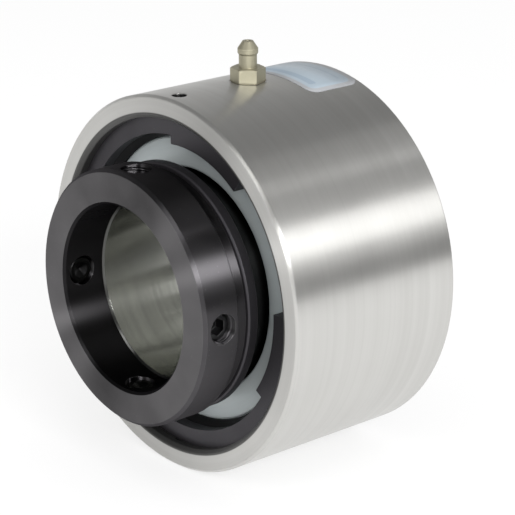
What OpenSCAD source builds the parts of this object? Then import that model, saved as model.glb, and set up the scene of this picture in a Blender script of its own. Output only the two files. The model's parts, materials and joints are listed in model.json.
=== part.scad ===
// Cartridge bearing unit: a two-row spherical roller insert with a locking collar,
// held in a plain cylindrical housing by two retaining rings.
// Millimetres. The shaft runs along Y, the collar is at -Y and the grease fitting at +Z.
// The origin is on the shaft's axis, midway along the housing.

/* [Shaft and inner ring] */
// Diameter of the shaft, which is the bore of the inner ring
shaft_d = 60; // [50:1:66]
// Wall of the inner ring under the seals
inner_wall = 6; // [5:0.5:8]
// Height of the land between the two inner raceways above the seal lands
middle_land_h = 0.2; // [0.1:0.05:0.5]
// Length of the inner ring's nose beyond each slinger ring
nose_l = 2.9; // [2.6:0.1:6]
// Chamfer at the ends of the inner ring
inner_chamfer = 0.6; // [0.3:0.1:1]

/* [Rollers] */
// Largest diameter of a roller
roller_d = 13.5; // [12:0.5:14]
// Length of a roller
roller_l = 13; // [11:0.5:13.5]
// Radius of the roller's barrel profile
barrel_r = 48; // [44:0.5:48]
// Angle of a roller's axis to the shaft, for a 60 mm shaft: it grows as the roller circle shrinks
contact_angle = 11.5; // [11:0.25:12.5]
// Height of the roller centres above the inner ring's land, measured along the contact line
pitch_rise = 6.15; // [6:0.05:6.4]
// Smallest gap between neighbouring rollers
roller_spacing = 1.6; // [1:0.1:3]
// Running gap between a roller and each raceway
roller_gap = 0.1; // [0.05:0.05:0.2]
// Corner chamfer of a roller
roller_chamfer = 0.6; // [0.3:0.1:1]
// Diameter of the shallow recess in a roller's ends
recess_d = 5; // [3:0.5:7]
// Depth of that recess
recess_depth = 0.5; // [0.2:0.1:1]

/* [Cages and guide ring] */
// Sheet thickness of the cages
cage_t = 1.6; // [1:0.1:2]
// Height of the cage's shell above the roller axes
cage_h = 3; // [2.5:0.25:3.5]
// Gap between a roller and its cage pocket
pocket_gap = 0.2; // [0.1:0.05:0.4]
// Width of the cage's rim beside the pockets
cage_rim = 1.5; // [1:0.1:2]
// Depth of the cage's turned-in flange
cage_flange = 7; // [4:0.5:8]
// Height of the guide ring above the middle land
guide_h = 9; // [7:0.5:9]

/* [Outer ring] */
// Length of the outer ring
outer_ring_l = 34; // [34:1:44]
// Wall of the outer ring at its middle
outer_wall = 5.98; // [5:0.5:9]
// Width of the lubrication groove round the outer ring
lube_groove_w = 5; // [3:0.5:7]
// Depth of the lubrication groove
lube_groove_depth = 2; // [1:0.25:3]
// Diameter of the lubrication holes
lube_hole_d = 3; // [2:0.5:5]
// Number of lubrication holes
lube_holes = 3; // [1:1:6]

/* [Housing] */
// Length of the housing
housing_l = 68; // [66:1:90]
// Wall of the housing
housing_wall = 7.5; // [7:0.5:20]
// Gap between the insert and the housing's bore
insert_gap = 0.02; // [0.01:0.01:0.05]
// Outer chamfer of the housing
housing_chamfer = 0.8; // [0.4:0.1:1.5]
// Bore chamfer of the housing
bore_chamfer = 1.2; // [0.5:0.1:2]
// Diameter of the small drilled hole on top
dimple_d = 5; // [3:0.5:6]
// Depth of the small drilled hole
dimple_depth = 3; // [1:0.5:4]
// Distance of the small drilled hole from the front face
dimple_from_face = 5.5; // [4:0.5:12]

/* [Retaining rings] */
// Thickness of a retaining ring
ring_t = 4; // [3:0.25:5]
// Depth of the groove in the housing's bore
groove_depth = 2; // [1.5:0.25:3]
// Radial width of the ring inside the housing's bore
ring_w = 5.7; // [4:0.1:6]
// Radial width of the two lugs inside the housing's bore, where they are widest
lug_w = 8.6; // [7:0.1:9.5]
// How much narrower a lug is at the ring's gap
lug_taper = 0.8; // [0:0.1:1.2]
// Start and end angle of the upper lug, from +X towards +Z
upper_lug = [53, 93];
// Start and end angle of the side lug
side_lug = [-33, 3];

/* [Seals] */
// Length of a seal carrier
carrier_l = 9.2; // [9.2:0.1:12]
// Radial wall of a seal carrier
carrier_wall = 7.5; // [6.5:0.25:8]
// Length of the carrier's shoulder
shoulder_l = 2.2; // [1.5:0.1:3]
// Sheet thickness of the seal shield
shield_t = 1.5; // [1:0.1:2]
// How far the shield's face lies behind the retaining ring's seat
shield_inset = 2.5; // [0.5:0.1:2.8]
// Gap between the shield's inner edge and the seal land
shield_reach = 1.2; // [1:0.1:5]
// Gap between the lip's edge and the seal land
lip_gap = 0.08; // [0.02:0.01:0.1]
// Length of the lip behind the shield
lip_l = 3.9; // [3.6:0.1:4]
// Wire radius of the garter spring
garter_r = 0.75; // [0.5:0.05:0.9]
// Thickness of a slinger ring
slinger_t = 4; // [3:0.5:6]
// Height of a slinger ring above the seal land
slinger_h = 5; // [4:0.25:6]
// Gap between a slinger ring and the retaining ring's face
slinger_gap = 0.6; // [0.4:0.1:2]

/* [Locking collar] */
// Outside diameter of the locking collar
collar_d = 84; // [82:1:110]
// Length of the collar's full-diameter part
collar_l = 14.6; // [13:0.1:20]
// Length of the collar's neck beyond the inner ring's nose
neck_extra = 0.9; // [0.5:0.1:3]
// Diameter of the collar's neck
neck_d = 79; // [77:0.5:80]
// Gap between the shaft and the collar's bore
collar_bore_gap = 0.7; // [0.2:0.1:1]
// Front outer chamfer of the collar
collar_chamfer = 1; // [0.5:0.1:2]
// Rear outer chamfer of the collar
collar_rear_chamfer = 1.5; // [0.5:0.1:2]
// Thread diameter of the set screws
screw_d = 10; // [8:1:11]
// Length of a set screw
screw_l = 8; // [6:1:10]
// Distance of the set screws from the collar's front face
screw_from_face = 7.2; // [6.5:0.1:9]
// Number of set screws
screws = 4; // [2:1:6]
// Width across flats of the hexagon socket
socket_af = 5; // [4:0.5:6]
// Depth of the hexagon socket
socket_depth = 4; // [2:0.5:5]
// Wire radius of the ring that keeps the collar on the inner ring
wire_r = 0.75; // [0.5:0.05:0.9]
// Width of the drive tongue, as an angle
tongue_angle = 16; // [10:1:24]
// Height of the drive tongue
tongue_h = 2.8; // [2:0.1:3]
// Angle at which the drive tongue lies, from +X towards +Z
tongue_at = 225; // [200:5:250]

/* [Grease fitting] */
// Thread diameter of the grease fitting
fitting_d = 8; // [6:1:10]
// Width across flats of the fitting's hexagon
hex_af = 10; // [9:0.5:13]
// Height of the hexagon
hex_h = 4.9; // [3:0.1:8]
// Turn of the hexagon about its own axis
hex_turn = -11; // [-30:1:30]
// Height of the fitting's neck
neck_h = 4.2; // [3:0.1:8]
// Diameter of the fitting's neck
fitting_neck_d = 5.9; // [5:0.1:6.4]
// Diameter of the fitting's head
head_d = 6.7; // [6.5:0.1:7.5]
// Height of the fitting's head
head_h = 4.5; // [4:0.1:6]
// Diameter of the check ball
ball_d = 2.4; // [2:0.1:2.6]

/* [Label] */
// Width of the label along the housing
label_w = 21.3; // [10:0.1:24]
// Start and end angle of the label, from +X towards +Z
label_arc = [73, 107];
// Thickness of the label
label_t = 0.15; // [0.1:0.05:0.5]
// Distance of the label from the rear face
label_from_face = 1.4; // [1:0.1:5]

/* [Hidden] */
// Gap between pieces pressed or screwed together
seat_gap = 0.02;
// Play of a retaining ring in its groove
groove_play = 0.1;
// Gap round the screws and the fitting's shank
thread_gap = 0.05;
// How far a cutter runs past the face that it cuts
past = 1;
// Facets of a full turn
turn_fn = 128;
// Facets of the long flat arcs
arc_fn = 360;
// Facets of small round features
small_fn = 48;

shaft_r = shaft_d / 2;
land_r = shaft_r + inner_wall;
middle_land_r = land_r + middle_land_h;
roller_r = roller_d / 2;
pitch_along = land_r + pitch_rise;
// Distance from the middle to a roller's centre at which the contact angle is given
reference_pitch = 42.15;
row_angle = contact_angle * reference_pitch / pitch_along;
pitch_r = pitch_along * cos(row_angle);
sphere_r = pitch_along + roller_r + roller_gap;
insert_r = sphere_r + outer_wall;
housing_bore_r = insert_r + insert_gap;
housing_r = housing_bore_r + housing_wall;
rollers = floor(2 * PI * pitch_r / (roller_d + roller_spacing));
roller_step = 360 / rollers;
roller_end_r = sqrt(pow(barrel_r, 2) - pow(roller_l / 2, 2)) - (barrel_r - roller_r);

// Where things lie along the shaft, measured from the middle
outer_ring_y = outer_ring_l / 2;
carrier_y = outer_ring_y + carrier_l;
ring_y = carrier_y + ring_t;
slinger_y = ring_y + slinger_gap;
slinger_end_y = slinger_y + slinger_t;
inner_ring_y = slinger_end_y + nose_l;
neck_end_y = inner_ring_y + neck_extra;
collar_end_y = neck_end_y + collar_l;
shield_y = carrier_y - shield_inset;
housing_y = housing_l / 2;

// Radii that follow from the ones above
shield_r = insert_r - carrier_wall;
shield_bore_r = land_r + shield_reach;
slinger_r = land_r + slinger_h;
groove_r = housing_bore_r + groove_depth;
ring_inner_r = housing_bore_r - ring_w;
lug_inner_r = housing_bore_r - lug_w;
collar_r = collar_d / 2;
collar_bore_r = shaft_r + collar_bore_gap;
screw_y = collar_end_y - screw_from_face;
wire_y = slinger_end_y + nose_l / 2;

// Inner raceway: its profile is a little flatter than the roller's
raceway_relief = 0.3;
raceway_r = barrel_r + raceway_relief;
raceway_centre_h = raceway_r - roller_r - roller_gap;
raceway_end_gap = 0.4;

// The cage's shell ends beyond the pockets by the rim
pocket_half = roller_l / 2 + pocket_gap;
cage_half = pocket_half + cage_rim;
flange_t = 1.2;

// The guide ring's sides stand square to the roller axes
guide_side = roller_l / 2 + roller_gap;
guide_bore_r = middle_land_r + roller_gap;
guide_r = middle_land_r + guide_h;

// Grease fitting: levels above the shaft's axis
spot_depth = 0.35;
spot_d = 12.4;
spot_z = housing_r - spot_depth;
shank_end_z = housing_bore_r + 0.45;
hex_z = spot_z + hex_h;
neck_z = hex_z + neck_h;
head_z = neck_z + head_h;
channel_r = ball_d / 2 + 0.1;
ball_mouth_r = ball_d / 2 - 0.35;
mouth_l = 0.4;
seat_l = 0.9;
seat_z = head_z - mouth_l - seat_l;
// The ball's centre sits so far under the seat's start that it clears the cone by seat_play
seat_play = 0.03;
seat_angle = atan2(seat_l, channel_r - ball_mouth_r);
ball_z = seat_z - (ball_d / 2 + seat_play - channel_r * sin(seat_angle)) / cos(seat_angle);
spring_ledge_z = spot_z + 3.85;
spring_wire_r = 0.2;
spring_coil_r = channel_r - spring_wire_r - 0.15;
spring_turns = 6;
spring_low_z = spring_ledge_z + spring_wire_r + seat_play;
spring_high_z = ball_z - sqrt(pow(ball_d / 2 + spring_wire_r + seat_play, 2) - pow(spring_coil_r, 2));
feed_r = 0.8;

ENDS = [["front", -1], ["rear", 1]];
ROLLER_ENDS = [["roller_front_", -1], ["roller_rear_", 1]];

// A point of the rear roller row's section, as [radius, y]:
// t runs along the roller's axis, away from the middle, and h runs outwards
function row_point(t, h) = [
    (pitch_along + h) * cos(row_angle) - t * sin(row_angle),
    (pitch_along + h) * sin(row_angle) + t * cos(row_angle)
];

// Points of an arc about c from angle a0 to a1
function arc_points(c, r, a0, a1, steps = 6) = [
    for (k = [0 : steps])
        let (a = a0 + (a1 - a0) * k / steps)
        [c[0] + r * cos(a), c[1] + r * sin(a)]
];

// Turns a [radius, y] section round the shaft's axis
module turned() {
    rotate([-90, 0, 0])
        rotate_extrude($fn = turn_fn)
            children();
}

// The same over a sector only, between two angles from +X towards +Z
module sector(from, to) {
    rotate([-90, -to, 0])
        rotate_extrude(angle = to - from, $fn = turn_fn)
            children();
}

// Puts a piece drawn for the rear end at the end that side gives
module at_end(side) {
    mirror([0, side < 0 ? 1 : 0, 0])
        children();
}

// Lays a piece drawn along +Z on a radius of the shaft, at angle a and place y
module on_radius(a, y) {
    rotate([0, -a, 0])
        translate([0, y, 0])
            rotate([0, 90, 0])
                children();
}

// The housing with its two ring grooves, its grease hole and the small drilled hole
module housing() {
    color("gainsboro")
        difference() {
            turned()
                difference() {
                    polygon([
                        [housing_bore_r, -housing_y + bore_chamfer],
                        [housing_bore_r + bore_chamfer, -housing_y],
                        [housing_r - housing_chamfer, -housing_y],
                        [housing_r, -housing_y + housing_chamfer],
                        [housing_r, housing_y - housing_chamfer],
                        [housing_r - housing_chamfer, housing_y],
                        [housing_bore_r + bore_chamfer, housing_y],
                        [housing_bore_r, housing_y - bore_chamfer]
                    ]);
                    for (side = [-1, 1])
                        translate([housing_bore_r - past, side * (carrier_y + ring_y) / 2])
                            translate([0, -ring_t / 2 - groove_play])
                                square([groove_depth + past, ring_t + 2 * groove_play]);
                }
            translate([0, 0, housing_bore_r - past])
                cylinder(d = fitting_d, h = housing_wall + 2 * past, $fn = small_fn);
            translate([0, 0, spot_z])
                cylinder(d = spot_d, h = spot_depth + past, $fn = small_fn);
            translate([0, -housing_y + dimple_from_face, housing_r - dimple_depth])
                cylinder(d = dimple_d, h = dimple_depth + past, $fn = small_fn);
        }
}

// Outer ring: one spherical raceway for both rows, fed through its outer groove
module outer_ring() {
    color("silver")
        difference() {
            turned()
                difference() {
                    polygon([
                        [shield_bore_r, -outer_ring_y],
                        [insert_r - bore_chamfer, -outer_ring_y],
                        [insert_r, -outer_ring_y + bore_chamfer],
                        [insert_r, outer_ring_y - bore_chamfer],
                        [insert_r - bore_chamfer, outer_ring_y],
                        [shield_bore_r, outer_ring_y]
                    ]);
                    circle(r = sphere_r, $fn = arc_fn);
                    translate([insert_r - lube_groove_depth, -lube_groove_w / 2])
                        square([lube_groove_depth + past, lube_groove_w]);
                }
            for (k = [0 : lube_holes - 1])
                on_radius(90 + k * 360 / lube_holes, 0)
                    translate([0, 0, sphere_r - past])
                        cylinder(d = lube_hole_d, h = outer_wall + past, $fn = small_fn);
        }
}

// Inner ring: two curved raceways, each with a shoulder outside it, and a slot in its front nose
module inner_ring() {
    color("lightsteelblue")
        difference() {
            turned()
                difference() {
                    union() {
                        polygon([
                            [shaft_r, -inner_ring_y + inner_chamfer],
                            [shaft_r + inner_chamfer, -inner_ring_y],
                            [land_r - inner_chamfer, -inner_ring_y],
                            [land_r, -inner_ring_y + inner_chamfer],
                            [land_r, inner_ring_y - inner_chamfer],
                            [land_r - inner_chamfer, inner_ring_y],
                            [shaft_r + inner_chamfer, inner_ring_y],
                            [shaft_r, inner_ring_y - inner_chamfer]
                        ]);
                        translate([shaft_r + inner_wall / 2, -roller_l / 4])
                            square([middle_land_r - shaft_r - inner_wall / 2, roller_l / 2]);
                    }
                    for (side = [0, 1])
                        mirror([0, side])
                            raceway_cut();
                    translate([land_r, -wire_y])
                        circle(r = wire_r + thread_gap, $fn = small_fn);
                }
            sector(tongue_at - tongue_angle / 2 - 0.5, tongue_at + tongue_angle / 2 + 0.5)
                translate([land_r - tongue_h - 2 * thread_gap, -inner_ring_y - past])
                    square([tongue_h + past, nose_l + past - seat_gap]);
        }
}

// What the grinding wheel takes out for one inner raceway
module raceway_cut() {
    end_t = roller_l / 2 + raceway_end_gap;
    start_t = -roller_l / 2 - past;
    intersection() {
        translate(row_point(0, raceway_centre_h))
            circle(r = raceway_r, $fn = arc_fn);
        polygon([
            row_point(start_t, -roller_d),
            row_point(end_t, -roller_d),
            row_point(end_t, roller_r),
            row_point(start_t, roller_r)
        ]);
    }
}

// Roller i of the row at the end that side gives
module roller(i, side) {
    color("whitesmoke")
        rotate([0, -i * roller_step - (side > 0 ? roller_step / 2 : 0), 0])
            at_end(side)
                rotate([0, 0, row_angle])
                    translate([pitch_along, 0, 0])
                        rotate([-90, 0, 0])
                            rotate_extrude($fn = small_fn)
                                roller_section();
}

// Half of a roller's section: a barrel with chamfered corners and a recess in each end
module roller_section() {
    half = roller_l / 2;
    difference() {
        intersection() {
            translate([roller_r - barrel_r, 0])
                circle(r = barrel_r, $fn = arc_fn);
            polygon([
                [0, -half],
                [roller_end_r - roller_chamfer, -half],
                [roller_end_r + past, -half + roller_chamfer + past],
                [roller_end_r + past, half - roller_chamfer - past],
                [roller_end_r - roller_chamfer, half],
                [0, half]
            ]);
        }
        for (side = [-1, 1])
            translate([-past, side > 0 ? half - recess_depth : -half - past])
                square([recess_d / 2 + past, recess_depth + past]);
    }
}

// Pressed cage: a conical shell over the rollers with a pocket for each, and a flange at its outer end
module cage(side) {
    color("darkkhaki")
        difference() {
            at_end(side)
                turned()
                    polygon([
                        row_point(-cage_half, cage_h),
                        row_point(-cage_half, cage_h + cage_t),
                        row_point(cage_half, cage_h + cage_t),
                        row_point(cage_half, cage_h + cage_t - cage_flange),
                        row_point(cage_half - flange_t, cage_h + cage_t - cage_flange),
                        row_point(cage_half - flange_t, cage_h)
                    ]);
            for (i = [1 : rollers])
                rotate([0, -i * roller_step - (side > 0 ? roller_step / 2 : 0), 0])
                    at_end(side)
                        rotate([0, 0, row_angle])
                            translate([pitch_along, -pocket_half, 0])
                                rotate([-90, 0, 0])
                                    cylinder(r = roller_r + pocket_gap, h = 2 * pocket_half, $fn = small_fn);
        }
}

// Loose ring between the rows that keeps the rollers square
module guide_ring() {
    low = row_point(-guide_side, (guide_bore_r - row_point(-guide_side, 0)[0]) / cos(row_angle));
    high = row_point(-guide_side, (guide_r - row_point(-guide_side, 0)[0]) / cos(row_angle));
    color("dimgray")
        turned()
            polygon([
                low,
                high,
                [high[0], -high[1]],
                [low[0], -low[1]]
            ]);
}

// Retaining ring: snapped into the housing's groove, open at the upper right between its two lugs
module retaining_ring(side) {
    body_w = groove_r - thread_gap - ring_inner_r;
    color("dimgray")
        at_end(side)
            union() {
                sector(upper_lug[0], side_lug[1] + 360)
                    translate([ring_inner_r, carrier_y])
                        square([body_w, ring_t]);
                ring_lug(upper_lug[0], upper_lug[1], upper_lug[0]);
                ring_lug(side_lug[0], side_lug[1], side_lug[1]);
            }
}

// One lug between two angles: its inner edge is an arc that runs out towards the gap's side
module ring_lug(from, to, gap_at) {
    total_w = groove_r - thread_gap - lug_inner_r;
    off_centre = lug_taper / (1 - cos(to - from));
    difference() {
        sector(from, to)
            translate([lug_inner_r, carrier_y])
                square([total_w, ring_t]);
        rotate([0, -gap_at, 0])
            translate([off_centre, carrier_y - past, 0])
                rotate([-90, 0, 0])
                    cylinder(r = lug_inner_r + lug_taper - off_centre, h = ring_t + 2 * past, $fn = turn_fn);
    }
}

// Seal carrier: spaces the retaining ring from the outer ring and holds the shield
module seal_carrier(side) {
    wall_r = shield_r + seat_gap;
    lead_in = carrier_y - shield_y - 0.1;
    color("black")
        at_end(side)
            turned()
                polygon([
                    [shield_r - shield_t, outer_ring_y],
                    [insert_r, outer_ring_y],
                    [insert_r, carrier_y],
                    [wall_r + lead_in, carrier_y],
                    [wall_r, shield_y + 0.1],
                    [wall_r, outer_ring_y + shoulder_l],
                    [shield_r - shield_t, outer_ring_y + shoulder_l]
                ]);
}

// Pressed shield: a cup with rounded edges whose face shows behind the retaining ring
module seal_shield(side) {
    back_y = shield_y - shield_t;
    bend_r = 1;
    curl = 0.9;
    color("lightgray")
        at_end(side)
            turned()
                polygon(concat(
                    [[shield_r - shield_t, outer_ring_y + shoulder_l]],
                    [[shield_r, outer_ring_y + shoulder_l]],
                    arc_points([shield_r - bend_r, shield_y - bend_r], bend_r, 0, 90),
                    arc_points([shield_bore_r + bend_r, shield_y - bend_r], bend_r, 90, 180),
                    [[shield_bore_r, back_y - curl]],
                    [[shield_bore_r + shield_t * 0.8, back_y - curl]],
                    [[shield_bore_r + shield_t * 0.8, back_y]],
                    [[shield_r - shield_t, back_y]]
                ));
}

// Rubber seal lip, bonded behind the shield, with a seat for the garter spring
module seal_lip(side) {
    back_y = shield_y - shield_t;
    hinge_r = max(land_r + 5.4, shield_bore_r + shield_t * 0.8 + 0.2);
    flange_r = shield_r - shield_t - 0.1;
    edge_y = back_y - lip_l;
    color("darkslategray")
        at_end(side)
            turned()
                difference() {
                    polygon([
                        [land_r + lip_gap, edge_y],
                        [land_r + 0.9, edge_y + 1.1],
                        [land_r + 3.5, edge_y + 2.5],
                        [hinge_r, edge_y + 3.3],
                        [hinge_r, back_y],
                        [flange_r, back_y],
                        [flange_r, back_y - 1.9],
                        [hinge_r - 0.2, back_y - 2.3],
                        [land_r + 2.9, edge_y + 1.1],
                        [land_r + 2.1, edge_y + 0.8],
                        [land_r + 2.1, edge_y - 1.4],
                        [land_r + 0.8, edge_y - 1.4]
                    ]);
                    garter_place(edge_y)
                        circle(r = garter_r + seat_gap, $fn = small_fn);
                }
}

// Where the garter spring's wire circle lies in the lip's section
module garter_place(edge_y) {
    wire_h = 2.3;
    behind_edge = 0.35;
    translate([land_r + wire_h, edge_y - behind_edge])
        children();
}

// Garter spring that presses the lip on the inner ring
module garter_spring(side) {
    color("silver")
        at_end(side)
            turned()
                garter_place(shield_y - shield_t - lip_l)
                    circle(r = garter_r, $fn = small_fn);
}

// Slinger ring pressed on the inner ring
module slinger_ring(side) {
    edge = 0.5;
    color("dimgray")
        at_end(side)
            turned()
                polygon([
                    [land_r + seat_gap, slinger_y],
                    [slinger_r - edge, slinger_y],
                    [slinger_r, slinger_y + edge],
                    [slinger_r, slinger_end_y - edge],
                    [slinger_r - edge, slinger_end_y],
                    [land_r + seat_gap, slinger_end_y]
                ]);
}

// Locking collar with its neck, its screw holes and the tongue that drives the inner ring
module locking_collar() {
    bore_edge = 0.8;
    pocket_r = land_r + thread_gap;
    color("black")
        difference() {
            union() {
                turned()
                    polygon([
                        [collar_bore_r + bore_edge, -collar_end_y],
                        [collar_r - collar_chamfer, -collar_end_y],
                        [collar_r, -collar_end_y + collar_chamfer],
                        [collar_r, -neck_end_y - collar_rear_chamfer],
                        [collar_r - collar_rear_chamfer, -neck_end_y],
                        [neck_d / 2, -neck_end_y],
                        [neck_d / 2, -slinger_end_y],
                        [pocket_r, -slinger_end_y],
                        [pocket_r, -inner_ring_y],
                        [collar_bore_r, -inner_ring_y],
                        [collar_bore_r, -collar_end_y + bore_edge]
                    ]);
                sector(tongue_at - tongue_angle / 2, tongue_at + tongue_angle / 2)
                    translate([land_r - tongue_h, -inner_ring_y - past])
                        square([tongue_h + past, nose_l + past - 0.3]);
            }
            turned()
                translate([land_r, -wire_y])
                    circle(r = wire_r + thread_gap, $fn = small_fn);
            for (k = [0 : screws - 1])
                on_radius(k * 360 / screws, -screw_y)
                    translate([0, 0, shaft_r])
                        cylinder(d = screw_d, h = collar_r - shaft_r + past, $fn = small_fn);
        }
}

// Wire ring in the half grooves of the collar and the inner ring, open round the tongue
module collar_wire_ring() {
    opening = tongue_angle + 14;
    color("silver")
        sector(tongue_at + opening / 2, tongue_at + 360 - opening / 2)
            translate([land_r, -wire_y])
                circle(r = wire_r, $fn = small_fn);
}

// Cup-point set screws with hexagon sockets, turned in until they stop short of the shaft
module set_screws() {
    tip = collar_bore_r + 0.5;
    radius = screw_d / 2 - thread_gap;
    edge = 1;
    cup_r = 2.6;
    cup_depth = 1.2;
    color("dimgray")
        for (k = [0 : screws - 1])
            on_radius(k * 360 / screws, -screw_y)
                difference() {
                    rotate_extrude($fn = small_fn)
                        polygon([
                            [0, tip + cup_depth],
                            [cup_r, tip],
                            [radius - edge, tip],
                            [radius, tip + edge],
                            [radius, tip + screw_l - edge],
                            [radius - edge, tip + screw_l],
                            [0, tip + screw_l]
                        ]);
                    translate([0, 0, tip + screw_l - socket_depth])
                        cylinder(d = socket_af / cos(30), h = socket_depth + past, $fn = 6);
                }
}

// Grease fitting: shank, hexagon, neck and head round the channel that the ball closes
module grease_fitting() {
    shank_r = fitting_d / 2 - thread_gap;
    hex_edge = 0.5;
    head_top_r = 1.75;
    bulge_low = 0.6;
    bulge_h = 1.5;
    color("darkkhaki")
        union() {
            rotate_extrude($fn = small_fn)
                polygon([
                    [feed_r, shank_end_z],
                    [shank_r, shank_end_z],
                    [shank_r, spot_z],
                    [fitting_neck_d / 2, spot_z],
                    [fitting_neck_d / 2, neck_z],
                    [head_d / 2, neck_z + bulge_low],
                    [head_d / 2, neck_z + bulge_low + bulge_h],
                    [head_top_r, head_z],
                    [ball_mouth_r, head_z],
                    [ball_mouth_r, head_z - mouth_l],
                    [channel_r, seat_z],
                    [channel_r, spring_ledge_z],
                    [feed_r, spring_ledge_z]
                ]);
            difference() {
                intersection() {
                    rotate([0, 0, hex_turn])
                        translate([0, 0, spot_z])
                            cylinder(d = hex_af / cos(30), h = hex_h, $fn = 6);
                    rotate_extrude($fn = small_fn)
                        polygon([
                            [0, spot_z],
                            [hex_af / 2 / cos(30) - hex_edge, spot_z],
                            [hex_af, spot_z + hex_edge + hex_af * 0.2],
                            [hex_af, hex_z - hex_edge - hex_af * 0.2],
                            [hex_af / 2 / cos(30) - hex_edge, hex_z],
                            [0, hex_z]
                        ]);
                }
                translate([0, 0, spot_z - past])
                    cylinder(r = (fitting_neck_d / 2 + channel_r) / 2, h = hex_h + 2 * past, $fn = small_fn);
            }
        }
}

// Check ball that closes the fitting
module fitting_ball() {
    color("silver")
        translate([0, 0, ball_z])
            sphere(d = ball_d, $fn = small_fn);
}

// Coil spring under the ball, swept round its helix
module fitting_spring() {
    per_turn = 12;
    sides = 6;
    last = spring_turns * per_turn;
    climb = spring_high_z - spring_low_z;
    pts = [
        for (k = [0 : last])
            let (turn = 360 * k / per_turn, z = spring_low_z + climb * k / last)
            for (s = [0 : sides - 1])
                let (a = 360 * s / sides, reach = spring_coil_r + spring_wire_r * cos(a))
                [reach * cos(turn), reach * sin(turn), z + spring_wire_r * sin(a)]
    ];
    walls = [
        for (k = [0 : last - 1])
            for (s = [0 : sides - 1])
                let (here = k * sides + s, next = k * sides + (s + 1) % sides)
                [here, here + sides, next + sides, next]
    ];
    color("silver")
        polyhedron(
            points = pts,
            faces = concat(
                [[for (s = [0 : sides - 1]) s]],
                walls,
                [[for (s = [sides - 1 : -1 : 0]) last * sides + s]]
            )
        );
}

// Bare label on the housing, behind the fitting
module label() {
    color("lightblue")
        sector(label_arc[0], label_arc[1])
            translate([housing_r, housing_y - label_from_face - label_w])
                square([label_t, label_w]);
}

housing();
outer_ring();
inner_ring();
locking_collar();
collar_wire_ring();
set_screws();
guide_ring();
grease_fitting();
fitting_ball();
fitting_spring();
label();
for (e = ENDS) {
    retaining_ring(e[1]);
    seal_carrier(e[1]);
    seal_shield(e[1]);
    seal_lip(e[1]);
    garter_spring(e[1]);
    slinger_ring(e[1]);
    cage(e[1]);
}
for (e = ROLLER_ENDS)
    for (i = [1 : rollers])
        roller(i, e[1]);
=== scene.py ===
import json
import math

import bmesh
import bpy
from mathutils import Matrix, Vector


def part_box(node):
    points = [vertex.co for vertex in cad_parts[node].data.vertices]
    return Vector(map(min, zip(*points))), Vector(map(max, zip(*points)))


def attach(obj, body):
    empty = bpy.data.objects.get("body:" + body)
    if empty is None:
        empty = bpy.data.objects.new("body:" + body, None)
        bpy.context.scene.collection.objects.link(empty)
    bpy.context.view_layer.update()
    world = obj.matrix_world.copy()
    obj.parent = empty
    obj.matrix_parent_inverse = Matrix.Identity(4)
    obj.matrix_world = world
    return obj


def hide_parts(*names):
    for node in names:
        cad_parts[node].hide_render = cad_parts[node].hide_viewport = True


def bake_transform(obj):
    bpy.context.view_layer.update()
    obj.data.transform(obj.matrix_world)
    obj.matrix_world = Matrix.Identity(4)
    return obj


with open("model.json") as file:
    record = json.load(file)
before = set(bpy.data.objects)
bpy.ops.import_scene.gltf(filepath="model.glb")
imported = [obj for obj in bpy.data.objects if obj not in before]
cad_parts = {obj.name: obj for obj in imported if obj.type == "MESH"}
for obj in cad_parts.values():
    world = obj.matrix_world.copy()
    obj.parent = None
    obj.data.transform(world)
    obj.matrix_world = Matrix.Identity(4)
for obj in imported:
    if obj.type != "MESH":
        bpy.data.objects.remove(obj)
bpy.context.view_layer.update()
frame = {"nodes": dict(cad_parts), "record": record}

# A cartridge bearing unit: a turned steel housing with a roller insert, a blackened locking collar,
# retaining rings, a grease fitting and a bare label. The shaft runs along Y and the fitting points up.

MM = 0.001
NODES = frame["nodes"]
BODIES = frame["record"]["behaviour"]["bodies"]

# Places taken from the frame
HOUSING_LOW, HOUSING_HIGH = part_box("housing")
HOUSING_R = HOUSING_HIGH.x
HOUSING_FRONT_Y = HOUSING_LOW.y
LABEL_LOW, LABEL_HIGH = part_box("label")
LABEL_CENTRE_Y = (LABEL_LOW.y + LABEL_HIGH.y) / 2
LABEL_HALF_W = (LABEL_HIGH.y - LABEL_LOW.y) / 2
LABEL_R = LABEL_HIGH.z
LABEL_HALF_ARC = math.asin(LABEL_HIGH.x / LABEL_R) * LABEL_R


# Helpers for shader nodes

FLOAT, VECTOR = "NodeSocketFloat", "NodeSocketVector"


def new_material(name):
    """A material with a node tree that holds only its output and its Principled shader."""
    material = bpy.data.materials.new(name)
    material.use_nodes = True
    tree = material.node_tree
    tree.nodes.clear()
    output = tree.nodes.new("ShaderNodeOutputMaterial")
    shader = tree.nodes.new("ShaderNodeBsdfPrincipled")
    tree.links.new(shader.outputs["BSDF"], output.inputs["Surface"])
    return material, tree, shader


def feed(tree, socket, value):
    """Links another node's socket to an input, or sets the input to a plain value."""
    if hasattr(value, "is_output"):
        tree.links.new(value, socket)
    else:
        socket.default_value = value


def add(tree, kind, **values):
    """A node of that kind, with attributes set by name and inputs set by a dictionary called inputs."""
    node = tree.nodes.new(kind)
    inputs = values.pop("inputs", {})
    for key, value in values.items():
        setattr(node, key, value)
    for key, value in inputs.items():
        feed(tree, node.inputs[key], value)
    return node


def math_node(tree, operation, a, b=0.0):
    """The result of one Math node."""
    return add(tree, "ShaderNodeMath", operation=operation, inputs={0: a, 1: b}).outputs[0]


def times(tree, a, b):
    """The product of two values."""
    return math_node(tree, "MULTIPLY", a, b)


def plus(tree, a, b):
    """The sum of two values."""
    return math_node(tree, "ADD", a, b)


def minus(tree, a, b):
    """One value less another."""
    return math_node(tree, "SUBTRACT", a, b)


def distance_of(tree, a, b):
    """The length of the vector with those two components."""
    return math_node(tree, "SQRT", plus(tree, times(tree, a, a), times(tree, b, b)))


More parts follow.
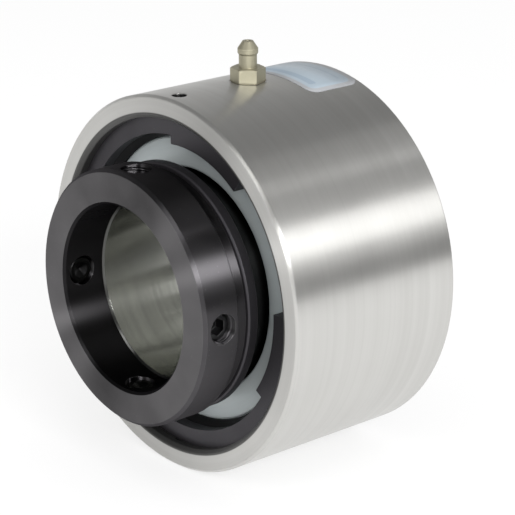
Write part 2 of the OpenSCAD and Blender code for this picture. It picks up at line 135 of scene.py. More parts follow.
def mix_colour(tree, factor, a, b):
    """A mix of two colours, each a socket or four numbers."""
    node = tree.nodes.new("ShaderNodeMix")
    node.data_type = "RGBA"
    for index, value in ((0, factor), (6, a), (7, b)):
        feed(tree, node.inputs[index], value)
    return node.outputs[2]


def remap(tree, value, low, high, to_low=0.0, to_high=1.0):
    """Value carried from one range to another, clamped."""
    node = add(tree, "ShaderNodeMapRange", inputs={
        "Value": value, "From Min": low, "From Max": high, "To Min": to_low, "To Max": to_high})
    return node.outputs["Result"]


def within(tree, value, limit, fade):
    """1 up to a limit and 0 beyond it, with the change spread over fade just below it."""
    return remap(tree, value, limit - fade, limit, to_low=1.0, to_high=0.0)


def beyond(tree, value, limit, fade):
    """1 from a limit on and 0 before it, with the change spread over fade just below it."""
    return remap(tree, value, limit - fade, limit)


def noise(tree, place, scale, detail, roughness=0.5):
    """A field of soft noise between 0 and 1."""
    return add(tree, "ShaderNodeTexNoise", inputs={
        "Vector": place, "Scale": scale, "Detail": detail, "Roughness": roughness}).outputs["Fac"]


def object_place(tree):
    """The point in the frame that is shaded, in metres."""
    return tree.nodes.new("ShaderNodeTexCoord").outputs["Object"]


def object_normal(tree):
    """The direction that the surface faces."""
    return tree.nodes.new("ShaderNodeTexCoord").outputs["Normal"]


def axes(tree, vector):
    """The x, y and z of a vector."""
    return add(tree, "ShaderNodeSeparateXYZ", inputs={0: vector}).outputs


def grey(value):
    """A neutral colour."""
    return (value, value, value, 1.0)


def new_group(name, inputs, outputs):
    """A shader node group, with its inputs as {name: default number} and its outputs as {name: type}."""
    group = bpy.data.node_groups.new(name, "ShaderNodeTree")
    for label, default in inputs.items():
        socket = group.interface.new_socket(name=label, in_out="INPUT", socket_type=FLOAT)
        socket.default_value = default
    for label, kind in outputs.items():
        group.interface.new_socket(name=label, in_out="OUTPUT", socket_type=kind)
    return group, group.nodes.new("NodeGroupInput"), group.nodes.new("NodeGroupOutput")


def use_group(tree, group, **values):
    """The outputs of that group, placed in a material with its inputs set by name."""
    node = tree.nodes.new("ShaderNodeGroup")
    node.node_tree = group
    for key, value in values.items():
        feed(tree, node.inputs[key], value)
    return node.outputs


def roughen(tree, shader, height, strength, depth, normal=None):
    """Gives the shader a fine relief."""
    inputs = {"Strength": strength, "Distance": depth, "Height": height}
    if normal:
        inputs["Normal"] = normal
    bump = add(tree, "ShaderNodeBump", inputs=inputs)
    tree.links.new(bump.outputs["Normal"], shader.inputs["Normal"])


# Masks that several finishes share

FLAT_FROM, FLAT_TO = 0.9, 0.98
SLANT_FROM, SLANT_TO = 0.3, 0.5
INWARD_FROM, INWARD_TO = -0.3, -0.6
RIM_FADE = 0.3 * MM
PIT_FADE = 0.2 * MM


def radius_from_shaft(tree):
    """How far a point lies from the shaft's axis, in metres."""
    place = axes(tree, object_place(tree))
    return distance_of(tree, place["X"], place["Z"])


def turned_to_the_ends(tree):
    """How much a surface faces one of the shaft's ends, from 0 on a cylinder to 1 on an end face."""
    return math_node(tree, "ABSOLUTE", axes(tree, object_normal(tree))["Y"])


def flat_face(tree):
    """1 on the end faces and 0 on the cylinders."""
    return remap(tree, turned_to_the_ends(tree), FLAT_FROM, FLAT_TO)


def slanted_face(tree):
    """1 where a surface leans towards the shaft's ends, such as a chamfer, and 0 on a cylinder."""
    return remap(tree, turned_to_the_ends(tree), SLANT_FROM, SLANT_TO)


def faces_the_shaft(tree):
    """1 on a bore, whose surface looks at the shaft's axis, and 0 elsewhere."""
    place = axes(tree, object_place(tree))
    flat = add(tree, "ShaderNodeCombineXYZ", inputs={0: place["X"], 1: 0.0, 2: place["Z"]}).outputs[0]
    outward = add(tree, "ShaderNodeVectorMath", operation="NORMALIZE", inputs={0: flat}).outputs[0]
    agree = add(tree, "ShaderNodeVectorMath", operation="DOT_PRODUCT", inputs={
        0: outward, 1: object_normal(tree)}).outputs["Value"]
    return remap(tree, agree, INWARD_FROM, INWARD_TO)


def drilled_pit(tree, y, radius, below):
    """1 inside a small hole drilled towards the shaft at that y, below the skin of the housing."""
    place = object_place(tree)
    seen_from_above = add(tree, "ShaderNodeVectorMath", operation="MULTIPLY", inputs={
        0: place, 1: (1.0, 1.0, 0.0)}).outputs[0]
    off = add(tree, "ShaderNodeVectorMath", operation="DISTANCE", inputs={
        0: seen_from_above, 1: (0.0, y, 0.0)}).outputs["Value"]
    deep = within(tree, axes(tree, place)["Z"], below, PIT_FADE)
    return times(tree, within(tree, off, radius + PIT_FADE, PIT_FADE), deep)


def neck_in_shade(tree, near, far, radius):
    """Where painted shade falls: 1 on a neck of at least that radius, between two distances from the middle
    of the unit.
    """
    along = math_node(tree, "ABSOLUTE", axes(tree, object_place(tree))["Y"])
    between = times(tree, beyond(tree, along, near, RIM_FADE), within(tree, along, far + RIM_FADE, RIM_FADE))
    return times(tree, between, beyond(tree, radius_from_shaft(tree), radius, RIM_FADE))


# Shared effects, each built once as a node group

MARKS_WAVER = 0.2 * MM
WAVER_SCALE = 18.0
BROAD_MARKS = 0.12
PATCH_SCALE = 35.0
BLOTCH_SCALE = 0.06
CELL_SCALE = 0.5
BEVEL_SAMPLES = 4


def turning_marks_group():
    """Marks that a lathe or grinding wheel leaves: rings on the faces and hoops on the cylinders round Y."""
    group, source, sink = new_group(
        "turning_marks", {"Lines": 2500.0}, {"Height": FLOAT, "Streaks": FLOAT, "Patches": FLOAT})
    place = object_place(group)
    wander = noise(group, place, WAVER_SCALE, detail=2.0)
    shift = times(group, minus(group, wander, 0.5), MARKS_WAVER)
    lines = add(group, "ShaderNodeCombineXYZ", inputs={
        0: plus(group, radius_from_shaft(group), shift),
        1: plus(group, axes(group, place)["Y"], shift),
        2: 0.0}).outputs[0]
    fineness = source.outputs["Lines"]
    fine = noise(group, lines, fineness, detail=3.0, roughness=0.6)
    broad = noise(group, lines, times(group, fineness, BROAD_MARKS), detail=4.0, roughness=0.7)
    patches = noise(group, place, PATCH_SCALE, detail=5.0)
    group.links.new(fine, sink.inputs["Height"])
    group.links.new(broad, sink.inputs["Streaks"])
    group.links.new(patches, sink.inputs["Patches"])
    return group


def grain_group():
    """The fine irregular grain of an oxide, plated or moulded skin."""
    group, source, sink = new_group(
        "grain", {"Size": 900.0}, {"Height": FLOAT, "Blotches": FLOAT, "Specks": FLOAT})
    place = object_place(group)
    size = source.outputs["Size"]
    fine = noise(group, place, size, detail=4.0, roughness=0.65)
    blotches = noise(group, place, times(group, size, BLOTCH_SCALE), detail=5.0)
    cells = add(group, "ShaderNodeTexVoronoi", inputs={
        "Vector": place, "Scale": times(group, size, CELL_SCALE)}).outputs["Distance"]
    specks = remap(group, cells, low=0.03, high=0.12, to_low=1.0, to_high=0.0)
    group.links.new(fine, sink.inputs["Height"])
    group.links.new(blotches, sink.inputs["Blotches"])
    group.links.new(specks, sink.inputs["Specks"])
    return group


def edge_group():
    """Where a surface turns a corner: a mask that is 1 on a sharp edge, and a normal that rounds it."""
    group, source, sink = new_group("edges", {"Radius": 0.3 * MM}, {"Mask": FLOAT, "Normal": VECTOR})
    rounded = add(group, "ShaderNodeBevel", samples=BEVEL_SAMPLES, inputs={
        "Radius": source.outputs["Radius"]}).outputs["Normal"]
    true_normal = group.nodes.new("ShaderNodeNewGeometry").outputs["Normal"]
    agree = add(group, "ShaderNodeVectorMath", operation="DOT_PRODUCT", inputs={0: rounded, 1: true_normal})
    group.links.new(remap(group, agree.outputs["Value"], low=0.98, high=0.8), sink.inputs["Mask"])
    group.links.new(rounded, sink.inputs["Normal"])
    return group


TURNING = turning_marks_group()
GRAIN = grain_group()
EDGES = edge_group()


# Kinds of finish

MARKS_TURN = 0.25
MARKS_DEPTH = 0.01 * MM
MARKS_STRENGTH = 0.35
ROUGH_SWING = 0.02
RIM_SHADE_DEPTH = 0.85
PAINTED_SHADE_DARK = grey(0.03)
NECK_SHADE_DARK = grey(0.035)
BORE_SHADE_DARK = grey(0.004)
FOOT_SHADE_COLOUR = (0.05, 0.04, 0.025, 1)
FOOT_FADE = 1.6 * MM
FOOT_SHADE_DEPTH = 0.8
MACHINED_GRAIN = 700.0
PATCH_STAIN = 0.12
BLOTCH_ROUGH = 0.05
COAT_LINES = 1800.0
COAT_EDGE = 0.3 * MM
COAT_SHADE = 0.3
COAT_SPECKS = 0.15
COAT_SMOOTHER, COAT_ROUGHER = 0.04, 0.05
EDGE_WEAR = 0.35
LEAST_EDGE_WEAR = 0.3 * EDGE_WEAR


def along_the_marks(tree, shader, amount):
    """A finish that is smooth along the turning marks and rough across them."""
    shader.inputs["Anisotropic"].default_value = amount
    shader.inputs["Anisotropic Rotation"].default_value = MARKS_TURN
    tangent = add(tree, "ShaderNodeTangent", direction_type="RADIAL", axis="Y")
    tree.links.new(tangent.outputs["Tangent"], shader.inputs["Tangent"])


def machined_steel(name, colour, dark, roughness, lines=2500.0, metallic=1.0, anisotropic=0.0,
                   edge=0.25 * MM, face_rough=0.0, rim=None, rim_slant=False, pit=None, neck=None):
    """Turned or ground steel: hoops and rings of fine marks, faint stains and softened edges.
    A rim is the radius inside which painted shade darkens the steel at the mouth of a bore,
    there only on its chamfer if rim_slant is set. A pit is a drilled hole whose inside is darkened with
    painted shade, and a neck is a part of the ring's outside that is darkened with painted shade."""
    material, tree, shader = new_material(name)
    marks = use_group(tree, TURNING, Lines=lines)
    skin = use_group(tree, GRAIN, Size=MACHINED_GRAIN)
    rounded = use_group(tree, EDGES, Radius=edge)["Normal"]
    tone = mix_colour(tree, remap(tree, marks["Streaks"], low=0.3, high=0.7), dark, colour)
    patches = remap(tree, marks["Patches"], low=0.35, high=0.75, to_high=PATCH_STAIN)
    tone = mix_colour(tree, patches, tone, dark)
    # Painted shade: the mouth of the bore, the drilled hole and the ring's neck are darkened where shade
    # falls.
    if rim:
        rim_shade = within(tree, radius_from_shaft(tree), rim, RIM_FADE)
        if rim_slant:
            rim_shade = times(tree, rim_shade, slanted_face(tree))
        tone = mix_colour(tree, times(tree, rim_shade, RIM_SHADE_DEPTH), tone, PAINTED_SHADE_DARK)
    if pit:
        tone = mix_colour(tree, drilled_pit(tree, *pit), tone, PAINTED_SHADE_DARK)
    if neck:
        tone = mix_colour(tree, neck_in_shade(tree, *neck), tone, NECK_SHADE_DARK)
    tree.links.new(tone, shader.inputs["Base Color"])
    streaked = remap(tree, marks["Streaks"], low=0.3, high=0.7,
                     to_low=roughness + ROUGH_SWING, to_high=roughness - ROUGH_SWING)
    rough = plus(tree, streaked, remap(tree, skin["Blotches"], low=0.35, high=0.7, to_high=BLOTCH_ROUGH))
    if face_rough:
        rough = plus(tree, rough, times(tree, flat_face(tree), face_rough))
    tree.links.new(rough, shader.inputs["Roughness"])
    shader.inputs["Metallic"].default_value = metallic
    if anisotropic:
        along_the_marks(tree, shader, anisotropic)
    roughen(tree, shader, marks["Height"], MARKS_STRENGTH, MARKS_DEPTH, rounded)
    return material


def coated_steel(name, colour, worn, roughness, metallic=1.0, grain=900.0, anisotropic=0.0,
                 bore_shade=0.0, face_colour=None, grazing=1.0, foot=None):
    """Steel with an oxide, phosphate or plated skin that is rubbed thin along its edges.
    Its bores are darkened by painted shade, as strongly as its bore setting asks, and grazing is how bright
    it stays when seen almost edge on.
    A foot is the height at which a band of painted shade round the piece's lower end fades out."""
    material, tree, shader = new_material(name)
    skin = use_group(tree, GRAIN, Size=grain)
    marks = use_group(tree, TURNING, Lines=COAT_LINES)
    edges = use_group(tree, EDGES, Radius=COAT_EDGE)
    skin_colour = mix_colour(tree, flat_face(tree), colour, face_colour) if face_colour else colour
    shade = mix_colour(tree, COAT_SHADE, skin_colour, grey(0.0))
    blotches = remap(tree, skin["Blotches"], low=0.3, high=0.7, to_high=0.5)
    base = mix_colour(tree, blotches, skin_colour, shade)
    base = mix_colour(tree, times(tree, skin["Specks"], COAT_SPECKS), base, worn)
    wear = remap(tree, skin["Blotches"], low=0.4, high=0.65, to_low=LEAST_EDGE_WEAR, to_high=EDGE_WEAR)
    rub = times(tree, edges["Mask"], wear)
    # Painted shade: surfaces that face the shaft, inside a bore, are darkened and kept free of edge wear.
    if bore_shade:
        sheltered = times(tree, faces_the_shaft(tree), bore_shade)
        base = mix_colour(tree, sheltered, base, BORE_SHADE_DARK)
        rub = times(tree, rub, minus(tree, 1.0, sheltered))
    # Painted shade: a dark brownish band round the fitting's foot, where it meets the housing.
    if foot:
        height = axes(tree, object_place(tree))["Z"]
        foot_shade = remap(tree, height, foot - FOOT_FADE, foot, to_low=FOOT_SHADE_DEPTH, to_high=0.0)
        base = mix_colour(tree, foot_shade, base, FOOT_SHADE_COLOUR)
    tree.links.new(mix_colour(tree, rub, base, worn), shader.inputs["Base Color"])
    rough = remap(tree, skin["Blotches"], low=0.3, high=0.7,
                  to_low=roughness - COAT_SMOOTHER, to_high=roughness + COAT_ROUGHER)
    tree.links.new(rough, shader.inputs["Roughness"])
    shader.inputs["Metallic"].default_value = metallic
    shader.inputs["Specular Tint"].default_value = grey(grazing)
    if anisotropic:
        along_the_marks(tree, shader, anisotropic)
    relief = plus(tree, times(tree, skin["Height"], 0.5), times(tree, marks["Height"], 0.5))
    roughen(tree, shader, relief, MARKS_STRENGTH, MARKS_DEPTH, edges["Normal"])
    return material


# The finishes, one for each material slot

# Where painted shade darkens the inner ring's neck, between slinger and seal.
RING_NECK = (19.5 * MM, 34.0 * MM, 35.7 * MM)
# Where painted shade darkens the inside of the drilled hole in the housing's skin.
DRILLED_PIT = (HOUSING_FRONT_Y + 5.5 * MM, 2.6 * MM, HOUSING_R - 0.15 * MM)


def turned_steel():
    """The housing: bright turned steel, with painted shade in the drilled hole and at the mouth of its bore.
    """
    return machined_steel(
        "turned_steel", colour=(0.62, 0.615, 0.595, 1), dark=(0.56, 0.555, 0.535, 1), roughness=0.3,
        metallic=0.88, lines=2200.0, anisotropic=0.9, face_rough=0.15, rim=56.9 * MM, pit=DRILLED_PIT,
        edge=0.8 * MM)


def bearing_steel():
    """Rings and rollers: ground steel, with painted shade on the inner ring's necks and on the chamfer of
    its bore.
    """
    return machined_steel(
        "bearing_steel", colour=(0.525, 0.53, 0.495, 1), dark=(0.425, 0.43, 0.402, 1), roughness=0.2,
        lines=3500.0, anisotropic=0.9, rim=31.6 * MM, rim_slant=True, neck=RING_NECK)


def blackened_steel():
    """The locking collar: turned steel with a black oxide skin, lighter on its faces, with painted shade in
    its bore.
    """
    return coated_steel(
        "blackened_steel", colour=(0.105, 0.101, 0.107, 1), worn=grey(0.4), roughness=0.38,
        anisotropic=1.0, bore_shade=0.75, face_colour=(0.15, 0.146, 0.15, 1), grazing=0.35)


def phosphated_steel():
    """The retaining rings and slinger rings: a dark phosphate skin."""
    return coated_steel(
        "phosphated_steel", colour=(0.055, 0.052, 0.058, 1), worn=grey(0.2), roughness=0.42, metallic=0.8)


def carrier_black():
    """The seal carriers: nearly black."""
    return coated_steel(
        "carrier_black", colour=(0.014, 0.014, 0.015, 1), worn=grey(0.08), roughness=0.4, metallic=0.6)


def pressed_steel():
    """The seal shields: dull pressed sheet."""
    return machined_steel(
        "pressed_steel", colour=(0.46, 0.50, 0.50, 1), dark=(0.39, 0.43, 0.44, 1), roughness=0.4,
        lines=1200.0, metallic=0.35)


def spring_steel():
    """The springs and the wire ring: bright drawn wire."""
    return machined_steel("spring_steel", colour=grey(0.6), dark=grey(0.45), roughness=0.18)


def screw_steel():
    """The set screws: oiled black steel, with painted shade on their tips inside the collar's bore."""
    return coated_steel(
        "screw_steel", colour=(0.07, 0.07, 0.072, 1), worn=grey(0.35), roughness=0.33, grain=1500.0,
        bore_shade=0.75)


def yellow_zinc():
    """The grease fitting: yellow zinc plate with painted shade round its foot, where it meets the housing.
    """
    return coated_steel(
        "yellow_zinc", colour=(0.43, 0.405, 0.3, 1), worn=(0.5, 0.48, 0.4, 1), roughness=0.46,
        grain=1100.0, metallic=0.8, foot=HOUSING_R + 0.6 * MM)


def cage_steel():
    """The cages and the guide ring: plain machined steel."""
    return machined_steel(
        "cage_steel", colour=(0.45, 0.44, 0.40, 1), dark=(0.36, 0.35, 0.32, 1), roughness=0.35)


def seal_rubber():
    """The seal lips: matte black nitrile with a faint bloom."""
    material, tree, shader = new_material("seal_rubber")
    skin = use_group(tree, GRAIN, Size=1200.0)
    tone = mix_colour(tree, remap(tree, skin["Blotches"], low=0.35, high=0.7), grey(0.018), grey(0.032))
    tree.links.new(tone, shader.inputs["Base Color"])
    rough = remap(tree, skin["Height"], low=0.3, high=0.7, to_low=0.5, to_high=0.65)
    tree.links.new(rough, shader.inputs["Roughness"])
    roughen(tree, shader, skin["Height"], strength=0.4, depth=0.02 * MM)
    return material


LABEL_WHITE = (0.3, 0.31, 0.325, 1)
LABEL_AGED = (0.26, 0.262, 0.265, 1)
LABEL_BLUE = (0.31, 0.365, 0.41, 1)
LABEL_DEEP_BLUE = (0.19, 0.245, 0.31, 1)
FIELD_SOFT = 0.12 * MM
FIELD_HALF_ARC = LABEL_HALF_ARC - 2.2 * MM
FIELD_HALF_W = LABEL_HALF_W - 1.9 * MM
BAND_HALF_ARC = FIELD_HALF_ARC - 3 * MM


def rounded_field(tree, along, across, middle, half_arc, half_w, corner):
    """1 inside a rounded rectangle on the label, where along is the way round the housing, and across
    the way along its axis, on which the field's middle is given."""
    from_top = math_node(tree, "ABSOLUTE", along)
    from_middle = math_node(tree, "ABSOLUTE", minus(tree, across, middle))
    off_arc = math_node(tree, "MAXIMUM", minus(tree, from_top, half_arc - corner), 0.0)
    off_w = math_node(tree, "MAXIMUM", minus(tree, from_middle, half_w - corner), 0.0)
    off_corner = distance_of(tree, off_arc, off_w)
    return remap(tree, off_corner, corner - FIELD_SOFT, corner + FIELD_SOFT, to_low=1.0, to_high=0.0)


def label_film():
    """The label: a bare printed film with a white border round a pale blue field and two plain bands."""
    material, tree, shader = new_material("label_film")
    x, y, z = axes(tree, object_place(tree))
    along = times(tree, math_node(tree, "ARCTAN2", x, z), LABEL_R)
    across = minus(tree, y, LABEL_CENTRE_Y)
    field = rounded_field(tree, along, across, 0.0, FIELD_HALF_ARC, FIELD_HALF_W, corner=2.4 * MM)
    band = rounded_field(tree, along, across, -5.4 * MM, BAND_HALF_ARC, 1.5 * MM, corner=0.8 * MM)
    thin_band = rounded_field(tree, along, across, 5.6 * MM, BAND_HALF_ARC, 0.5 * MM, corner=0.4 * MM)
    skin = use_group(tree, GRAIN, Size=500.0)
    aged = remap(tree, skin["Blotches"], low=0.3, high=0.7, to_high=0.3)
    faded = remap(tree, skin["Blotches"], low=0.35, high=0.7, to_high=0.25)
    paper = mix_colour(tree, aged, LABEL_WHITE, LABEL_AGED)
    tone = mix_colour(tree, field, paper, mix_colour(tree, faded, LABEL_BLUE, LABEL_DEEP_BLUE))
    for mask, strength in ((band, 0.5), (thin_band, 0.4)):
        tone = mix_colour(tree, times(tree, mask, strength), tone, LABEL_DEEP_BLUE)
    tree.links.new(tone, shader.inputs["Base Color"])
    rough = remap(tree, skin["Height"], low=0.3, high=0.7, to_low=0.32, to_high=0.42)
    tree.links.new(rough, shader.inputs["Roughness"])
    roughen(tree, shader, skin["Blotches"], strength=0.2, depth=0.02 * MM)
    return material


FINISHES = {make.__name__: make() for make in (
    turned_steel, bearing_steel, blackened_steel, phosphated_steel, carrier_black, pressed_steel,
    spring_steel, screw_steel, yellow_zinc, cage_steel, seal_rubber, label_film)}
for entry in frame["record"]["subparts"]:
    carrier = NODES[entry["node"]]
    carrier.data.materials.clear()
    carrier.data.materials.append(FINISHES[entry["material_slot"]])


# Pieces that stand in for a plain node or add to one

WELD = 0.001 * MM
LABEL_THICKNESS = 0.15 * MM
LABEL_CORNER = 4.0 * MM
LABEL_CORNER_STEPS = 8
LABEL_CUTS = 48
THREAD_PITCH = 1.5 * MM
THREAD_STEPS = 48
THREAD_PROFILE = ((-0.62, 0.02), (-0.12, -0.62), (0.12, -0.62), (0.62, 0.02))
THREAD_IN_WALL = 0.05 * MM
THREAD_IN_SCREW = 0.25 * MM
THREAD_BELOW_SKIN = 0.8 * MM
SCREW_PLACES = 4
SPRING_WIRE_R = 0.2 * MM
SPRING_TURNS = 6
SPRING_STEPS = 36
SPRING_SIDES = 12
FULL_TURN = 2 * math.pi


def link_object(name, data):
    """A new object with that data, at the origin."""
    made = bpy.data.objects.new(name, data)
    bpy.context.scene.collection.objects.link(made)
    return made


def mesh_object(name, mesh):
    """A new object from a bmesh, which is used up."""
    data = bpy.data.meshes.new(name)
    mesh.to_mesh(data)
    mesh.free()
    return link_object(name, data)


def whole(mesh):
    """Every vertex, edge and face of a bmesh."""
    return mesh.verts[:] + mesh.edges[:] + mesh.faces[:]


def verts_in(result):
    """The vertices that a bmesh operator made."""
    return [item for item in result["geom"] if isinstance(item, bmesh.types.BMVert)]


def body_of(node):
    """The body that a node rides on."""
    return next(body for body, nodes in BODIES.items() if node in nodes)


def finish_piece(mesh, name, slot):
    """Makes a mesh into a piece with outward faces, in that finish."""
    bmesh.ops.remove_doubles(mesh, verts=mesh.verts, dist=WELD)
    bmesh.ops.recalc_face_normals(mesh, faces=mesh.faces)
    piece = mesh_object(name, mesh)
    piece.data.shade_smooth()
    piece.data.materials.append(FINISHES[slot])
    return piece


def make_label():
    """The label as a film with rounded corners, bent round the housing."""
    mesh = bmesh.new()
    bmesh.ops.create_grid(mesh, x_segments=1, y_segments=1, size=1.0)
    bmesh.ops.scale(mesh, vec=(LABEL_HALF_ARC, LABEL_HALF_W, 1), verts=mesh.verts)
    bmesh.ops.bevel(mesh, geom=mesh.verts[:], offset=LABEL_CORNER, offset_type="OFFSET",
                    segments=LABEL_CORNER_STEPS, profile=0.5, affect="VERTICES", material=-1)
    for k in range(1, LABEL_CUTS):
        at = LABEL_HALF_ARC * (2 * k / LABEL_CUTS - 1)
        bmesh.ops.bisect_plane(mesh, geom=whole(mesh), plane_co=(at, 0, 0), plane_no=(1, 0, 0))
    raised = bmesh.ops.extrude_face_region(mesh, geom=mesh.faces[:])
    bmesh.ops.translate(mesh, vec=(0, 0, LABEL_THICKNESS), verts=verts_in(raised))
    for vert in mesh.verts:
        angle = vert.co.x / LABEL_R
        radius = LABEL_R - LABEL_THICKNESS + vert.co.z
        vert.co = (radius * math.sin(angle), LABEL_CENTRE_Y + vert.co.y, radius * math.cos(angle))
    piece = finish_piece(mesh, "label_film", "label_film")
    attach(piece, body_of("label"))
    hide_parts("label")


def make_hole_threads():
    """A thread in each of the collar's screw holes, as far as it shows above the screw."""
    screw_low, screw_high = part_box("set_screws")
    screw_y = (screw_low.y + screw_high.y) / 2
    hole_r = (screw_high.y - screw_low.y) / 2 + THREAD_IN_WALL
    start = screw_high.x - THREAD_IN_SCREW
    turns = (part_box("locking_collar")[1].x - THREAD_BELOW_SKIN - start) / THREAD_PITCH
    steps = round(turns * THREAD_STEPS)
    mesh = bmesh.new()
    corners = [mesh.verts.new((start + along * MM, screw_y, hole_r + out * MM))
               for along, out in THREAD_PROFILE]
    mesh.faces.new(corners)
    bmesh.ops.spin(mesh, geom=whole(mesh), cent=(0, screw_y, 0), axis=(1, 0, 0), angle=FULL_TURN * turns,
                   dvec=(THREAD_PITCH * turns / steps, 0, 0), steps=steps, use_duplicate=False)
    first = whole(mesh)
    for k in range(1, SCREW_PLACES):
        copy = bmesh.ops.duplicate(mesh, geom=first)
        turn = Matrix.Rotation(FULL_TURN * k / SCREW_PLACES, 3, "Y")
        bmesh.ops.rotate(mesh, cent=(0, 0, 0), matrix=turn, verts=verts_in(copy))
    piece = finish_piece(mesh, "hole_threads", "blackened_steel")
    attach(piece, body_of("locking_collar"))


def make_valve_spring():
    """The coil spring in the grease fitting, under the ball, as a fixed coil."""
    low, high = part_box("fitting_spring")
    coil_y = (low.y + high.y) / 2
    foot, top = low.z + SPRING_WIRE_R, high.z - SPRING_WIRE_R
    start = Matrix.Translation((high.x - SPRING_WIRE_R, coil_y, foot)) @ Matrix.Rotation(math.pi / 2, 4, "X")
    steps = SPRING_TURNS * SPRING_STEPS
    mesh = bmesh.new()
    bmesh.ops.create_circle(mesh, cap_ends=True, radius=SPRING_WIRE_R, segments=SPRING_SIDES, matrix=start)
    bmesh.ops.spin(mesh, geom=whole(mesh), cent=(0, coil_y, 0), axis=(0, 0, 1),
                   angle=FULL_TURN * SPRING_TURNS, dvec=(0, 0, (top - foot) / steps), steps=steps,
                   use_duplicate=False)
    piece = finish_piece(mesh, "valve_spring", "spring_steel")
    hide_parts("fitting_spring")
    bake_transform(piece)


make_label()
make_hole_threads()
make_valve_spring()


# Camera, fitted to the photograph's perspective

CAMERA_AZIMUTH = math.radians(49.15)
CAMERA_ELEVATION = math.radians(18.98)
CAMERA_DISTANCE = 0.6833
CAMERA_RIGHT = 0.02882
CAMERA_UP = 0.00915
CAMERA_LENS = 147.9
SENSOR_WIDTH = 36.0
NEAR_CLIP, FAR_CLIP = 0.01, 20.0


def make_camera():
    """A camera that looks along a fixed direction, aimed right of and above the middle of the front face."""
    right = Vector((math.cos(CAMERA_AZIMUTH), math.sin(CAMERA_AZIMUTH), 0))
    ahead = Vector((-math.sin(CAMERA_AZIMUTH) * math.cos(CAMERA_ELEVATION),
                    math.cos(CAMERA_AZIMUTH) * math.cos(CAMERA_ELEVATION),
                    -math.sin(CAMERA_ELEVATION)))
    up = right.cross(ahead)
    data = bpy.data.cameras.new("camera")
    data.sensor_width = SENSOR_WIDTH
    data.lens = CAMERA_LENS
    data.clip_start, data.clip_end = NEAR_CLIP, FAR_CLIP
    camera = link_object("camera", data)
    turn = Matrix((right, up, -ahead)).transposed().to_4x4()
    front = Vector((0, HOUSING_FRONT_Y, 0))
    eye = right * CAMERA_RIGHT + up * CAMERA_UP - ahead * CAMERA_DISTANCE + front
    camera.matrix_world = Matrix.Translation(eye) @ turn
    bpy.context.scene.camera = camera


# Studio

FLOOR_RADIUS = 3.0
FLOOR_SIDES = 96
FLOOR_GLOW = 0.65
FLOOR_PALE = 0.9
WORLD_LEVEL = 0.85
CEILING = 0.06
WALLS = 0.6
HORIZON_GLOW = 0.3
LEFT_WALL_GLOW = 0.15
FRONT_LEFT_SHADE = 0.6
BAR_DISTANCE = 1.45
SOFTBOX_DISTANCE = 1.6
SCREEN_RADIUS = 0.62
SCREEN_STEPS = 48
SCREEN_DARK = 0.04


def matt_paint(name, level, roughness):
    """A plain matt paint of that grey, with no gloss."""
    material, tree, shader = new_material(name)
    shader.inputs["Base Color"].default_value = grey(level)
    shader.inputs["Roughness"].default_value = roughness
    shader.inputs["Specular IOR Level"].default_value = 0.0
    return material, tree, shader


def floor_paint():
    """Pale paint that the camera and mirrors see near white, with the shadow on it kept."""
    material, tree, shader = matt_paint("floor_paint", FLOOR_PALE, roughness=0.9)
    path = tree.nodes.new("ShaderNodeLightPath").outputs
    looked_at = math_node(tree, "MAXIMUM", path["Is Camera Ray"], path["Is Glossy Ray"])
    white = add(tree, "ShaderNodeEmission", inputs={"Color": grey(1.0), "Strength": 1.0})
    blend = add(tree, "ShaderNodeMixShader", inputs={
        0: times(tree, looked_at, FLOOR_GLOW), 1: shader.outputs["BSDF"], 2: white.outputs["Emission"]})
    output = next(node for node in tree.nodes if node.type == "OUTPUT_MATERIAL")
    tree.links.new(blend.outputs["Shader"], output.inputs["Surface"])
    return material


def make_floor():
    """A round pale floor under the housing."""
    mesh = bmesh.new()
    bmesh.ops.create_circle(mesh, cap_ends=True, segments=FLOOR_SIDES, radius=FLOOR_RADIUS)
    floor = mesh_object("floor", mesh)
    floor.data.transform(Matrix.Translation((0, 0, -HOUSING_R)))
    floor.data.materials.append(floor_paint())


def make_world():
    """White to the camera, even to matt surfaces, and to gloss a pale horizon under a dark ceiling."""
    world = bpy.data.worlds.new("studio")
    bpy.context.scene.world = world
    world.use_nodes = True
    tree = world.node_tree
    tree.nodes.clear()
    x, y, z = axes(tree, tree.nodes.new("ShaderNodeTexCoord").outputs["Generated"])
    walls = remap(tree, z, low=0.03, high=0.75, to_low=WALLS, to_high=CEILING)
    horizon = remap(tree, z, low=0.0, high=0.12, to_low=HORIZON_GLOW, to_high=0.0)
    left = remap(tree, x, low=-0.6, high=-0.15, to_low=LEFT_WALL_GLOW, to_high=0.0)
    front_left = times(tree, remap(tree, x, low=-0.5, high=-0.1, to_low=1.0, to_high=0.0),
                       remap(tree, y, low=-0.3, high=0.1, to_low=1.0, to_high=0.0))
    unshaded = minus(tree, 1.0, times(tree, front_left, FRONT_LEFT_SHADE))
    in_mirrors = times(tree, plus(tree, plus(tree, walls, horizon), left), unshaded)
    path = tree.nodes.new("ShaderNodeLightPath").outputs
    glossy = path["Is Glossy Ray"]
    level = plus(tree, times(tree, glossy, in_mirrors), times(tree, minus(tree, 1.0, glossy), WORLD_LEVEL))
    seen = math_node(tree, "MAXIMUM", path["Is Camera Ray"], path["Is Transmission Ray"])
    strength = math_node(tree, "MAXIMUM", level, seen)
    background = add(tree, "ShaderNodeBackground", inputs={"Color": grey(1.0), "Strength": strength})
    output = tree.nodes.new("ShaderNodeOutputWorld")
    tree.links.new(background.outputs["Background"], output.inputs["Surface"])
    world.cycles.sampling_method = "NONE"


def on_sphere(azimuth, elevation, distance):
    """A point that far away. Azimuth 0 is towards -Y and 90 towards +X, in degrees."""
    a, e = math.radians(azimuth), math.radians(elevation)
    return Vector((math.sin(a) * math.cos(e), -math.cos(a) * math.cos(e), math.sin(e))) * distance


def area_lamp(name, width, height, power):
    """A soft rectangular lamp, still to be placed."""
    data = bpy.data.lights.new(name, "AREA")
    data.shape = "RECTANGLE"
    data.size, data.size_y = width, height
    data.energy = power
    return link_object(name, data)


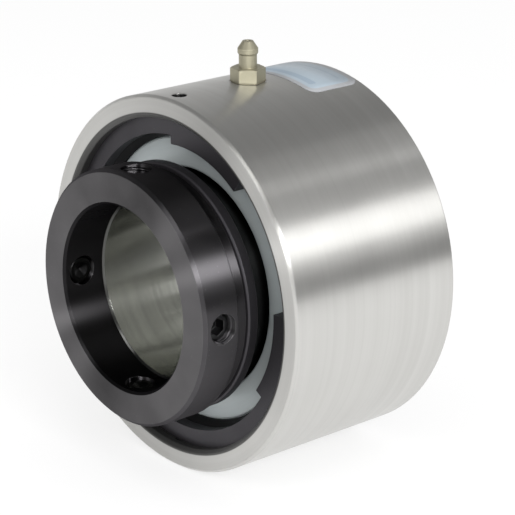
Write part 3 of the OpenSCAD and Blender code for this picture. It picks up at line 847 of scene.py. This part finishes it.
def make_softbox(name, azimuth, elevation, width, height, power):
    """A soft lamp that faces the object."""
    lamp = area_lamp(name, width, height, power)
    lamp.location = on_sphere(azimuth, elevation, SOFTBOX_DISTANCE)
    lamp.rotation_mode = "QUATERNION"
    lamp.rotation_quaternion = (-lamp.location).to_track_quat("-Z", "Y")


def make_bar_light(name, section_angle, y_from, y_to, height, power):
    """A long soft lamp beside the shaft and parallel to it, which the cylinders show as a straight streak.
    The section angle is measured from +X towards +Z, in degrees."""
    lamp = area_lamp(name, y_to - y_from, height, power)
    a = math.radians(section_angle)
    outward = Vector((math.cos(a), 0, math.sin(a)))
    along = Vector((0, 1, 0))
    turn = Matrix((along, outward.cross(along), outward)).transposed().to_4x4()
    middle = outward * BAR_DISTANCE + along * (y_from + y_to) / 2
    lamp.matrix_world = Matrix.Translation(middle) @ turn


def make_dark_screen(azimuth_from, azimuth_to, low, high):
    """A low dark screen beside the table, which the ground steel shows as a dark stripe."""
    mesh = bmesh.new()
    start = on_sphere(azimuth_from, 0, SCREEN_RADIUS)
    corners = [mesh.verts.new(start + Vector((0, 0, z))) for z in (low, high)]
    mesh.edges.new(corners)
    bmesh.ops.spin(mesh, geom=whole(mesh), cent=(0, 0, 0), axis=(0, 0, 1), steps=SCREEN_STEPS,
                   angle=math.radians(azimuth_to - azimuth_from), use_duplicate=False)
    screen = mesh_object("dark_screen", mesh)
    screen.data.materials.append(matt_paint("dark_cloth", SCREEN_DARK, roughness=1.0)[0])
    screen.visible_camera = False
    screen.visible_diffuse = False


make_camera()
make_floor()
make_world()
make_bar_light("key_light", section_angle=28.0, y_from=-0.1, y_to=1.7, height=0.48, power=2.7)
make_bar_light("front_bar", section_angle=27.5, y_from=-1.2, y_to=-0.1, height=0.38, power=22.0)
make_bar_light("thin_bar", section_angle=61.0, y_from=-1.2, y_to=1.6, height=0.06, power=0.6)
make_softbox("strip_light", azimuth=148, elevation=45, width=1.5, height=0.1, power=0.5)
make_softbox("front_light", azimuth=-1, elevation=31, width=0.6, height=0.6, power=4.2)
make_dark_screen(azimuth_from=60, azimuth_to=200, low=-0.034, high=0.092)

bpy.context.scene.view_settings.view_transform = "Standard"
